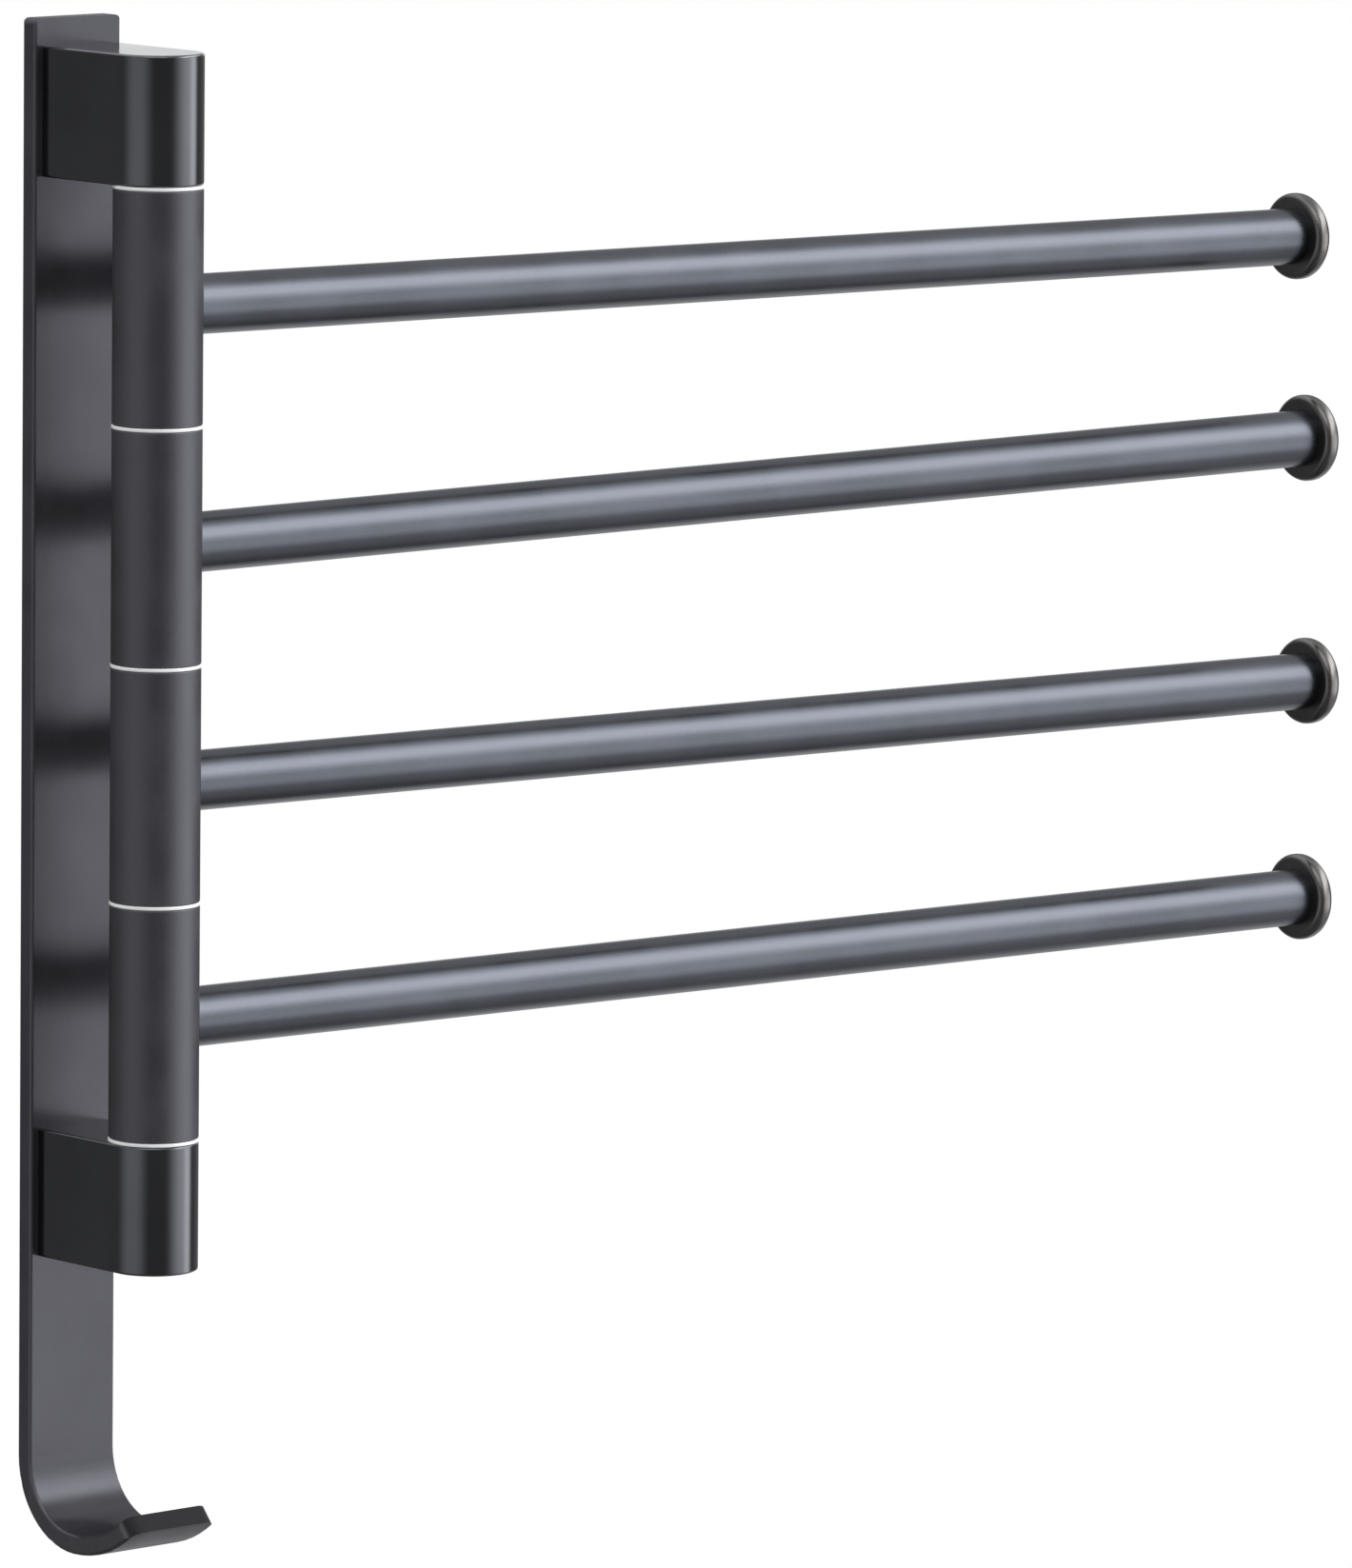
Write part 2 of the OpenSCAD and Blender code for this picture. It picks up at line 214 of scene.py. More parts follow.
paper = bpy.data.materials.new("white_paper")
paper.use_nodes = True
paper_tree = paper.node_tree
paper_tree.nodes.clear()
paper_diffuse = put(paper_tree, "ShaderNodeBsdfDiffuse")
paper_diffuse.inputs["Color"].default_value = PAPER_WHITE
paper_glow = put(paper_tree, "ShaderNodeEmission")
paper_glow.inputs["Strength"].default_value = 1.0
paper_mix = put(paper_tree, "ShaderNodeMixShader")
paper_ray = put(paper_tree, "ShaderNodeLightPath").outputs
feed(paper_tree, paper_mix.inputs[0], paper_ray["Is Camera Ray"])
feed(paper_tree, paper_mix.inputs[1], paper_diffuse.outputs[0])
feed(paper_tree, paper_mix.inputs[2], paper_glow.outputs[0])
feed(paper_tree, put(paper_tree, "ShaderNodeOutputMaterial").inputs[0], paper_mix.outputs[0])
floor_mesh.materials.append(paper)
floor.visible_glossy = False
floor.visible_diffuse = False
print("floor at", FLOOR_DROP)

# %% [markdown]
# ## Light painted on the room
#
# Black satin metal is a mirror with a very dark tint, so the studio is painted straight onto the
# world: soft patches of light in directions around the rack. It could be made with lamps, but a
# painted room is free of noise and each patch can fade at its own pace on each side. The world
# shader gets the direction of the ray, turns it into an azimuth and an elevation, and every
# patch is a product of two soft windows. Azimuth 0 is +X, and -90 is straight out of the wall.
# For the camera itself the room is plain white.

# %% The directions in the room
world = bpy.data.worlds.new("studio")
world.use_nodes = True
room = world.node_tree
room.nodes.clear()
ways = put(room, "ShaderNodeSeparateXYZ")
feed(room, ways.inputs[0], put(room, "ShaderNodeTexCoord").outputs["Generated"])
ray_azimuth = calc(room, "DEGREES", calc(room, "ARCTAN2", ways.outputs["Y"], ways.outputs["X"]))
ray_elevation = calc(room, "DEGREES", calc(room, "ARCSINE", ways.outputs["Z"]))


def light_patch(name, azimuths, elevations, glow):
    """A soft patch: it fades in and out between the first and the last pair of angles."""
    middle = (azimuths[0] + azimuths[3]) / 2
    turned = calc(room, "WRAP", calc(room, "SUBTRACT", ray_azimuth, middle), 180.0, -180.0)
    share = glow
    for value, edges, centre in ((turned, azimuths, middle), (ray_elevation, elevations, 0.0)):
        start, full, full_end, end = [edge - centre for edge in edges]
        share = calc(room, "MULTIPLY", share, fade(room, value, start, full))
        share = calc(room, "MULTIPLY", share, fade(room, value, full_end, end, 1.0, 0.0))
    print("patch", name, "azimuth", azimuths, "elevation", elevations, "glow", glow)
    return share


# %% The patches of light
ROOM_BELOW = 0.20
ROOM_ABOVE = 0.85
ROOM_RISE = (8.0, 62.0)
ROOM_TINT = (0.97, 0.98, 1.0, 1)
light = fade(room, ray_elevation, *ROOM_RISE, ROOM_BELOW, ROOM_ABOVE)
for patch in (
        light_patch("front_right_sheet", (-75, -50, -27, 12), (11, 29, 40, 53), 4.9),
        light_patch("sheet_corner", (-92, -70, -55, -42), (5, 14, 24, 35), 2.4),
        light_patch("low_front_sheet", (-100, -50, -34, -13), (-34, -14, 0, 26), 2.1),
        light_patch("low_right_lamp", (-50, -34, -28, -14), (-30, -16, -2, 10), 1.5),
        light_patch("right_wall", (-24, -8, 10, 26), (12, 24, 36, 48), 1.1),
        light_patch("paper_bounce", (-98, -50, -20, 20), (-60, -42, -30, -10), 0.6),
        light_patch("table_bounce", (-8, 15, 50, 85), (-62, -48, -30, -14), 0.68),
        light_patch("white_wall_behind", (8, 30, 70, 100), (-4, 2, 10, 19), 0.75),
        light_patch("left_sheet", (125, 168, 184, 222), (-35, -15, 5, 30), 0.80),
        light_patch("left_high_sheet", (165, 190, 245, 270), (24, 38, 62, 78), 1.3),
        light_patch("back_high_fill", (40, 80, 150, 190), (20, 38, 62, 80), 0.6)):
    light = calc(room, "ADD", light, patch)

# %% The world and the colour handling
room_glow = put(room, "ShaderNodeBackground")
feed(room, room_glow.inputs["Color"], ROOM_TINT)
feed(room, room_glow.inputs["Strength"], light)
plain_white = put(room, "ShaderNodeBackground")
plain_white.inputs["Color"].default_value = (1, 1, 1, 1)
seen = put(room, "ShaderNodeMixShader")
feed(room, seen.inputs[0], put(room, "ShaderNodeLightPath").outputs["Is Camera Ray"])
feed(room, seen.inputs[1], room_glow.outputs[0])
feed(room, seen.inputs[2], plain_white.outputs[0])
feed(room, put(room, "ShaderNodeOutputWorld").inputs[0], seen.outputs[0])
bpy.context.scene.world = world
bpy.context.scene.view_settings.view_transform = "Standard"
print("room light from", ROOM_BELOW, "to", ROOM_ABOVE)

# %% [markdown]
# ## Finishes that several materials share
#
# Four effects come back on almost every part, so each is a shader group with named inputs.
# Blasted metal has a fine grain. Drawn or brushed metal has long faint lines. Every part has
# soft patches where the finish took a little differently or hands have touched it. Edges lose
# some of their dye first, and on the brackets and caps the lighter edge is a painted highlight.
# The groups give plain values, and each material decides what those values do to its colour,
# its roughness and its surface.

# %% The fine grain
def two_scales(group, fine, coarse, fine_share):
    """Mixes a fine and a coarse noise."""
    return calc(group, "ADD", calc(group, "MULTIPLY", fine, fine_share),
                calc(group, "MULTIPLY", coarse, 1.0 - fine_share))


def around_one(group, value, strength):
    """Turns a noise around 0.5 into a tone around 1."""
    return calc(group, "MULTIPLY_ADD", calc(group, "SUBTRACT", value, 0.5), strength, 1.0)


FINE_SHARE = 0.65
COARSE_GRAIN = 0.22
grain_group, takes, gives = named_group(
    "fine_grain",
    [("Place", "NodeSocketVector", None), ("Grain Size", "NodeSocketFloat", 0.0003),
     ("Strength", "NodeSocketFloat", 0.5)],
    ["Tone", "Height"])
fine_scale = calc(grain_group, "DIVIDE", 1.0, takes["Grain Size"])
coarse_scale = calc(grain_group, "DIVIDE", COARSE_GRAIN, takes["Grain Size"])
grain_height = two_scales(grain_group, noise(grain_group, takes["Place"], fine_scale, 3.0, 0.6),
                          noise(grain_group, takes["Place"], coarse_scale), FINE_SHARE)
feed(grain_group, gives["Tone"], around_one(grain_group, grain_height, takes["Strength"]))
feed(grain_group, gives["Height"], grain_height)
print("grain:", FINE_SHARE, "of it fine, the rest", round(1 / COARSE_GRAIN, 1), "times as coarse")

# %% The drawn lines
HAIR_SHARE = 0.55
STREAK_SCALE = 0.12
lines_group, takes, gives = named_group(
    "drawn_lines",
    [("Place", "NodeSocketVector", None), ("Stretch", "NodeSocketVector", (1.0, 1.0, 0.01)),
     ("Line Width", "NodeSocketFloat", 0.0004), ("Strength", "NodeSocketFloat", 0.5)],
    ["Tone", "Height"])
drawn = scaled(lines_group, takes["Place"], takes["Stretch"])
hair_scale = calc(lines_group, "DIVIDE", 1.0, takes["Line Width"])
streak_scale = calc(lines_group, "DIVIDE", STREAK_SCALE, takes["Line Width"])
line_height = two_scales(lines_group, noise(lines_group, drawn, hair_scale, 3.0, 0.65),
                         noise(lines_group, drawn, streak_scale), HAIR_SHARE)
feed(lines_group, gives["Tone"], around_one(lines_group, line_height, takes["Strength"]))
feed(lines_group, gives["Height"], line_height)
print("lines:", HAIR_SHARE, "of them hairs, the rest", round(1 / STREAK_SCALE, 1), "times as wide")

# %% The soft patches
PATCH_FROM, PATCH_TO = 0.36, 0.66
touch_group, takes, gives = named_group(
    "soft_patches",
    [("Place", "NodeSocketVector", None), ("Patch Size", "NodeSocketFloat", 0.03)],
    ["Mask"])
patch_scale = calc(touch_group, "DIVIDE", 1.0, takes["Patch Size"])
broad = noise(touch_group, takes["Place"], patch_scale, 3.0, 0.55)
feed(touch_group, gives["Mask"], fade(touch_group, broad, PATCH_FROM, PATCH_TO))
print("patches: fade in from", PATCH_FROM, "to", PATCH_TO, "of the noise")

# %% The worn edge, also used as a painted highlight
# This mask lightens edges: real wear on the plate and barrels, a painted highlight on the brackets
# and caps.
BREAK_GAIN, BREAK_SHIFT = 1.2, -0.1
edge_group, takes, gives = named_group(
    "worn_edge",
    [("Distance", "NodeSocketFloat", 0.01), ("Width", "NodeSocketFloat", 0.0006),
     ("Break Up", "NodeSocketFloat", 0.5)],
    ["Mask"])
near = fade(edge_group, takes["Distance"], 0.0, takes["Width"], 1.0, 0.0)
broken = calc(edge_group, "MULTIPLY_ADD", takes["Break Up"], BREAK_GAIN, BREAK_SHIFT, clamp=True)
feed(edge_group, gives["Mask"], calc(edge_group, "MULTIPLY", near, broken))
print("groups:", [g.name for g in bpy.data.node_groups])

# %% [markdown]
# ## Black anodised metal, five ways
#
# The plate, brackets, barrels, arms and caps are all dyed aluminium, and they differ only in how
# the metal was prepared. The strip is brushed lengthwise, the brackets are polished before they
# are dyed, the barrels are blasted, the arm tubes are drawn and keep a blue-grey cast, and the
# caps are turned. One function builds the material, and each part gives it its own numbers.
# The metallic value stays near one, because the dark bands on the plate are mirrored arms and
# not shadows.

# %% Helpers for materials
def use_group(tree, group, **values):
    """Places a shared group and feeds its inputs, whose names have spaces for underscores."""
    node = put(tree, "ShaderNodeGroup", node_tree=group)
    for label, value in values.items():
        feed(tree, node.inputs[label.replace("_", " ")], value)
    return node.outputs


def start_material(name):
    """A new material with its shader, and the place on the part in metres."""
    material = bpy.data.materials.new(name)
    material.use_nodes = True
    tree = material.node_tree
    tree.nodes.clear()
    shader = put(tree, "ShaderNodeBsdfPrincipled")
    feed(tree, put(tree, "ShaderNodeOutputMaterial").inputs[0], shader.outputs[0])
    place = put(tree, "ShaderNodeTexCoord").outputs["Object"]
    return material, tree, shader, place


def raise_surface(tree, shader, height, distance, strength=1.0):
    """Turns a height into a bump on the shader's normal."""
    bump = put(tree, "ShaderNodeBump")
    feed(tree, bump.inputs["Strength"], strength)
    feed(tree, bump.inputs["Distance"], distance)
    feed(tree, bump.inputs["Height"], height)
    feed(tree, shader.inputs["Normal"], bump.outputs[0])


def dress(names, material):
    """Gives the finish to the solids of these names."""
    for name in names:
        for place in nodes[name].material_slots:
            place.material = material
    print(material.name, "on", ", ".join(names))


# %% One function for dyed metal
PATCH_SIZE = 0.028
PATCH_LIGHTER = 0.16
PATCH_ROUGHER = 0.22
# Painted shade: the end of the hook is coloured nearly black, and it is also made rougher.
PAINTED_END_SHADE = (0.022, 0.022, 0.024, 1)
DARK_END_ROUGHER = 0.2


def dyed_metal(name, colour, wear_and_highlight_colour, roughness, grain, lines, stretch,
               turn=0.0, seed=0.0, metallic=0.92, coat=0.0, coat_roughness=0.1,
               edge_distance=None, wear_and_highlight_share=0.5, wear_and_highlight_width=0.0007, dark_end=None, brushing=0.0):
    """Anodised aluminium. grain and lines are (size, strength, height) of the two textures."""
    material, tree, shader, place = start_material(name)
    shift = put(tree, "ShaderNodeMapping")
    feed(tree, shift.inputs["Vector"], place)
    shift.inputs["Location"].default_value = (seed, seed * 0.7, seed * 0.4)
    shift.inputs["Rotation"].default_value = (0, 0, turn)
    spot = shift.outputs[0]
    specks = use_group(tree, grain_group, Place=spot, Grain_Size=grain[0], Strength=grain[1])
    draws = use_group(tree, lines_group, Place=spot, Stretch=stretch, Line_Width=lines[0],
                      Strength=lines[1])
    patches = use_group(tree, touch_group, Place=spot, Patch_Size=PATCH_SIZE)["Mask"]
    tone = calc(tree, "MULTIPLY", specks["Tone"], draws["Tone"])
    cloudy = calc(tree, "MULTIPLY_ADD", patches, PATCH_LIGHTER, 1.0 - PATCH_LIGHTER / 2)
    base = scaled(tree, colour, calc(tree, "MULTIPLY", tone, cloudy))
    # The lighter edge colour is wear on the plate and barrels and a painted highlight on the
    # brackets and caps.
    if edge_distance is not None:
        wear_and_highlight_mask = use_group(tree, edge_group, Distance=edge_distance(tree, place),
                         Width=wear_and_highlight_width, Break_Up=specks["Height"])["Mask"]
        base = blend_colours(tree, calc(tree, "MULTIPLY", wear_and_highlight_mask, wear_and_highlight_share), base, wear_and_highlight_colour)
    rough = calc(tree, "MULTIPLY", draws["Tone"], roughness)
    rough = calc(tree, "MULTIPLY_ADD", patches, roughness * PATCH_ROUGHER, rough)
    # The hook's end: painted shade in the colour, and more roughness.
    if dark_end is not None:
        dark_end_mask = dark_end(tree, place)
        base = blend_colours(tree, dark_end_mask, base, PAINTED_END_SHADE)
        rough = calc(tree, "MULTIPLY_ADD", dark_end_mask, DARK_END_ROUGHER, rough)
    feed(tree, shader.inputs["Base Color"], base)
    feed(tree, shader.inputs["Roughness"], rough)
    shader.inputs["Metallic"].default_value = metallic
    shader.inputs["Coat Weight"].default_value = coat
    shader.inputs["Coat Roughness"].default_value = coat_roughness
    if brushing > 0:
        shader.inputs["Anisotropic"].default_value = brushing
        across = put(tree, "ShaderNodeCombineXYZ")
        across.inputs["X"].default_value = 1.0
        feed(tree, shader.inputs["Tangent"], across.outputs[0])
    surface = calc(tree, "ADD", calc(tree, "MULTIPLY", specks["Height"], grain[2]),
                   calc(tree, "MULTIPLY", draws["Height"], lines[2]))
    raise_surface(tree, shader, surface, 1.0)
    return material


# %% [markdown]
# ## Where the edges are
#
# Dye wears off the edges first, and on the brackets and caps the lighter edge is a painted
# highlight.
# The end of the hook is painted nearly black as painted shade, and made rougher. All of these
# need to know where on the part a point lies. The exact solids are carried over as they are, so
# the place comes from the same sizes that shaped them: an edge is where two faces are both close,
# and its distance is the larger of the distances to the two.

# %% The rims of the stack
STACK_RADIUS = 0.01125
BARREL_HALF = 0.02925
BRACKET_HALF = 0.01625


def stack_rim(middle, half, flat_back=False):
    """Distance to the two rims of a barrel, or of a bracket whose back runs on flat."""
    def measure(tree, place):
        parts = put(tree, "ShaderNodeSeparateXYZ")
        feed(tree, parts.inputs[0], place)
        out = calc(tree, "SUBTRACT", parts.outputs["Y"], AXIS_Y)
        if flat_back:
            out = calc(tree, "MINIMUM", out, 0.0)
        squares = calc(tree, "ADD", calc(tree, "POWER", parts.outputs["X"], 2.0),
                       calc(tree, "POWER", out, 2.0))
        side = calc(tree, "SUBTRACT", STACK_RADIUS, calc(tree, "SQRT", squares))
        off_middle = calc(tree, "ABSOLUTE", calc(tree, "SUBTRACT", parts.outputs["Z"], middle))
        return calc(tree, "MAXIMUM", side, calc(tree, "SUBTRACT", half, off_middle))
    return measure


# %% The long edges of the strip
STRIP_HALF_WIDTH = 0.0136
STRIP_HALF_THICKNESS = 0.0025


def strip_edge(half_width, half_thickness):
    """Distance to the long edges of the straight part of the strip."""
    def measure(tree, place):
        parts = put(tree, "ShaderNodeSeparateXYZ")
        feed(tree, parts.inputs[0], place)
        side = calc(tree, "SUBTRACT", half_width, calc(tree, "ABSOLUTE", parts.outputs["X"]))
        deep = calc(tree, "ABSOLUTE", calc(tree, "ADD", parts.outputs["Y"], half_thickness))
        return calc(tree, "MAXIMUM", side, calc(tree, "SUBTRACT", half_thickness, deep))
    return measure


# %% The arms' directions and the rims of their caps
ARM_RISE = {1: -0.3, 2: 0.6, 3: -0.25, 4: -0.1}
CAP_RADIUS = 0.0115
arm_roots = {i: Vector((0, AXIS_Y, height)) for i, height in ARM_HEIGHTS.items()}
arm_ways = {}
for i, swing in REST_SWING.items():
    turn, rise = math.radians(swing - 90), math.radians(ARM_RISE[i])
    arm_ways[i] = Vector((math.cos(turn) * math.cos(rise), math.sin(turn) * math.cos(rise),
                          math.sin(rise)))
print("arms point along", {i: [round(v, 3) for v in way] for i, way in arm_ways.items()})


def cap_rim(i):
    """Distance to the rim of an arm's cap."""
    def measure(tree, place):
        offset = put(tree, "ShaderNodeVectorMath", operation="SUBTRACT")
        feed(tree, offset.inputs[0], place)
        offset.inputs[1].default_value = arm_roots[i]
        off_axis = put(tree, "ShaderNodeVectorMath", operation="CROSS_PRODUCT")
        feed(tree, off_axis.inputs[0], offset.outputs[0])
        off_axis.inputs[1].default_value = arm_ways[i]
        far = put(tree, "ShaderNodeVectorMath", operation="LENGTH")
        feed(tree, far.inputs[0], off_axis.outputs[0])
        return calc(tree, "SUBTRACT", CAP_RADIUS, far.outputs["Value"])
    return measure


# %% The painted shade on the end of the hook
TIP_ANGLE = math.radians(41)
TIP_FORWARD = (0.038, 0.041)
TIP_LOW = (0.190, 0.200)
TIP_FACING = (0.25, 0.6)


def hook_end(tree, place):
    """1 on the end of the hook's tip, which is painted nearly black as painted shade."""
    facing = put(tree, "ShaderNodeVectorMath", operation="DOT_PRODUCT")
    feed(tree, facing.inputs[0], put(tree, "ShaderNodeNewGeometry").outputs["Normal"])
    facing.inputs[1].default_value = (0, -math.cos(TIP_ANGLE), math.sin(TIP_ANGLE))
    parts = put(tree, "ShaderNodeSeparateXYZ")
    feed(tree, parts.inputs[0], place)
    forward = fade(tree, calc(tree, "MULTIPLY", parts.outputs["Y"], -1.0), *TIP_FORWARD)
    low = fade(tree, calc(tree, "MULTIPLY", parts.outputs["Z"], -1.0), *TIP_LOW)
    end = fade(tree, facing.outputs["Value"], *TIP_FACING)
    return calc(tree, "MULTIPLY", end, calc(tree, "MULTIPLY", forward, low))


# %% The brushed plate and the polished brackets
ALONG_Z = (1.0, 1.0, 0.012)
ALONG_X = (0.012, 1.0, 1.0)
# The end of the plate's hook gets painted shade.
dress(["backplate"], dyed_metal(
    "plate_satin_black", colour=(0.078, 0.077, 0.088), wear_and_highlight_colour=(0.20, 0.20, 0.21, 1),
    roughness=0.3125, grain=(0.00022, 0.30, 0.000004), lines=(0.00045, 0.34, 0.000006),
    stretch=ALONG_Z, seed=0.31, metallic=0.82, brushing=0.954, wear_and_highlight_share=0.35,
    edge_distance=strip_edge(STRIP_HALF_WIDTH, STRIP_HALF_THICKNESS), dark_end=hook_end))
for name, middle in BRACKET_MIDDLES.items():
    # The lighter band along each bracket's rims is a painted highlight.
    dress([name], dyed_metal(
        name.replace("bracket", "bracket_gloss_black"),
        colour=(0.062, 0.063, 0.071), wear_and_highlight_colour=(0.30, 0.30, 0.31, 1), roughness=0.15,
        grain=(0.0005, 0.10, 0.0000008), lines=(0.0006, 0.12, 0.0000012), stretch=ALONG_Z,
        seed=0.83 + middle, coat=0.5, coat_roughness=0.07,
        edge_distance=stack_rim(middle, BRACKET_HALF, flat_back=True)))

# %% The blasted barrels
for i, height in ARM_HEIGHTS.items():
    dress([f"barrel_{i}"], dyed_metal(
        f"barrel_satin_black_{i}",
        colour=(0.094, 0.093, 0.105), wear_and_highlight_colour=(0.21, 0.21, 0.23, 1), roughness=0.48,
        grain=(0.00025, 0.28, 0.000005), lines=(0.0007, 0.16, 0.000003), stretch=ALONG_Z,
        seed=1.1 * i, edge_distance=stack_rim(height, BARREL_HALF)))

# %% The turned caps
cap_finishes = {}
for i in hinges:
    # The broad lighter band on each cap's rim is a painted highlight.
    cap_finishes[i] = dyed_metal(
        f"cap_black_{i}",
        colour=(0.088, 0.086, 0.085), wear_and_highlight_colour=(0.20, 0.19, 0.18, 1), roughness=0.24,
        grain=(0.00025, 0.18, 0.000003), lines=(0.0004, 0.22, 0.000002), stretch=ALONG_X,
        seed=1.7 * i, edge_distance=cap_rim(i), wear_and_highlight_share=0.9, wear_and_highlight_width=0.0019)
    dress([f"end_cap_{i}"], cap_finishes[i])

# %% The drawn arm tubes
for i, swing in REST_SWING.items():
    dress([f"arm_tube_{i}"], dyed_metal(
        f"arm_satin_grey_{i}",
        colour=(0.084, 0.090, 0.104), wear_and_highlight_colour=(0.25, 0.26, 0.28, 1), roughness=0.27,
        grain=(0.00022, 0.24, 0.000004), lines=(0.0005, 0.30, 0.000004), stretch=ALONG_X,
        turn=math.radians(90 - swing), seed=2.3 * i))

# %% [markdown]
# ## Plain white plastic and bare metal
#
# The thin rings between the barrels are pale low-friction plastic: nearly white, a little waxy,
# and grey where they have rubbed. The screws and the bolt are plated or stainless steel.

# %% White plastic
def white_plastic(name, colour, grime_colour, roughness):
    """Pale low-friction plastic with faint grime."""
    material, tree, shader, place = start_material(name)
    specks = use_group(tree, grain_group, Place=place, Grain_Size=0.0004, Strength=0.12)
    patches = use_group(tree, touch_group, Place=place, Patch_Size=0.006)["Mask"]
    clean = scaled(tree, colour, specks["Tone"])
    feed(tree, shader.inputs["Base Color"],
         blend_colours(tree, calc(tree, "MULTIPLY", patches, 0.22), clean, grime_colour))
    feed(tree, shader.inputs["Roughness"],
         calc(tree, "MULTIPLY_ADD", patches, 0.12, roughness))
    raise_surface(tree, shader, specks["Height"], 0.000004)
    return material


ring_plastic = white_plastic("white_washer", colour=(0.93, 0.93, 0.915),
                             grime_colour=(0.74, 0.74, 0.72, 1), roughness=0.38)
dress([f"washer_{i}" for i in RINGS], ring_plastic)
dress([f"{side}_bush_{i}" for side in ("upper", "lower") for i in hinges],
      white_plastic("bush_nylon", colour=(0.80, 0.79, 0.74),
                    grime_colour=(0.60, 0.59, 0.54, 1), roughness=0.5))


# %% Bare metal
def bare_metal(name, colour, stain_colour, roughness, stretch):
    """Turned or plated steel or aluminium with fine tool lines and cloudy plating."""
    material, tree, shader, place = start_material(name)
    specks = use_group(tree, grain_group, Place=place, Grain_Size=0.0003, Strength=0.16)
    draws = use_group(tree, lines_group, Place=place, Stretch=stretch, Line_Width=0.00025,
                      Strength=0.3)
    patches = use_group(tree, touch_group, Place=place, Patch_Size=0.004)["Mask"]
    bright = scaled(tree, colour, calc(tree, "MULTIPLY", specks["Tone"], draws["Tone"]))
    feed(tree, shader.inputs["Base Color"],
         blend_colours(tree, calc(tree, "MULTIPLY", patches, 0.35), bright, stain_colour))
    feed(tree, shader.inputs["Roughness"],
         calc(tree, "MULTIPLY_ADD", patches, 0.14, roughness))
    shader.inputs["Metallic"].default_value = 1.0
    raise_surface(tree, shader, draws["Height"], 0.000006)
    return material


stainless = bare_metal("stainless", colour=(0.60, 0.60, 0.60),
                       stain_colour=(0.42, 0.41, 0.39, 1), roughness=0.26,
                       stretch=(0.05, 0.05, 1.0))
dress(["pivot_bolt", "spring_washer"], stainless)
zinc_steel = bare_metal("zinc_steel", colour=(0.58, 0.59, 0.61),
                        stain_colour=(0.50, 0.49, 0.44, 1), roughness=0.33,
                        stretch=(1.0, 0.05, 1.0))
dress(["bracket_screws"] + [f"arm_screw_{i}" for i in hinges], zinc_steel)
dress([f"root_plug_{i}" for i in hinges],
      bare_metal("plug_aluminium", colour=(0.66, 0.66, 0.67),
                 stain_colour=(0.52, 0.52, 0.52, 1), roughness=0.36, stretch=(0.05, 1.0, 1.0)))

# %% [markdown]
# ## Turned parts that are made by a rule
#
# Three kinds of part on this rack repeat one rule: the thin rings between the barrels, the
# threaded fasteners and the caps. All are turned on a lathe, so all could be spun by hand from a
# profile. A Geometry Nodes tree is the better way here, because the rule stays visible: change
# the pitch of the thread or the number of rings, and the part follows. Each tree takes its sizes
# through named inputs and runs on the points where its parts sit. The result is kept as a plain
# mesh.

# %% The start and the end of a geometry tree
def geometry_tree(name, takes):
    """Starts a geometry tree with named inputs; gives it, its inputs and its last socket."""
    tree = bpy.data.node_groups.new(name, "GeometryNodeTree")
    tree.is_modifier = True
    tree.interface.new_socket("Geometry", in_out="OUTPUT", socket_type="NodeSocketGeometry")
    tree.interface.new_socket("Seats", in_out="INPUT", socket_type="NodeSocketGeometry")
    for label, value in takes.items():
        kind = "NodeSocketInt" if isinstance(value, int) else "NodeSocketFloat"
        tree.interface.new_socket(label, in_out="INPUT", socket_type=kind).default_value = value
    tree.interface.new_socket("Direction", in_out="INPUT", socket_type="NodeSocketVector")
    tree.interface.new_socket("Finish", in_out="INPUT", socket_type="NodeSocketMaterial")
    return tree, put(tree, "NodeGroupInput").outputs, put(tree, "NodeGroupOutput").inputs[0]


def finish_tree(tree, shape, takes, sharp_from, last):
    """Keeps the sharp edges crisp, puts a copy on every seat and gives it its finish."""
    smooth = put(tree, "GeometryNodeSetShadeSmooth", domain="FACE")
    feed(tree, smooth.inputs[0], shape)
    corner = calc(tree, "GREATER_THAN",
                  put(tree, "GeometryNodeInputMeshEdgeAngle").outputs["Unsigned Angle"],
                  math.radians(sharp_from))
    crisp = put(tree, "GeometryNodeSetShadeSmooth", domain="EDGE")
    feed(tree, crisp.inputs[0], smooth.outputs[0])
    feed(tree, crisp.inputs["Selection"], corner)
    crisp.inputs["Shade Smooth"].default_value = False
    aim = put(tree, "FunctionNodeAlignRotationToVector", axis="Z")
    feed(tree, aim.inputs["Vector"], takes["Direction"])
    copies = put(tree, "GeometryNodeInstanceOnPoints")
    feed(tree, copies.inputs["Points"], takes["Seats"])
    feed(tree, copies.inputs["Instance"], crisp.outputs[0])
    feed(tree, copies.inputs["Rotation"], aim.outputs[0])
    plain = put(tree, "GeometryNodeRealizeInstances")
    feed(tree, plain.inputs[0], copies.outputs[0])
    coated = put(tree, "GeometryNodeSetMaterial")
    feed(tree, coated.inputs[0], plain.outputs[0])
    feed(tree, coated.inputs["Material"], takes["Finish"])
    feed(tree, last, coated.outputs[0])


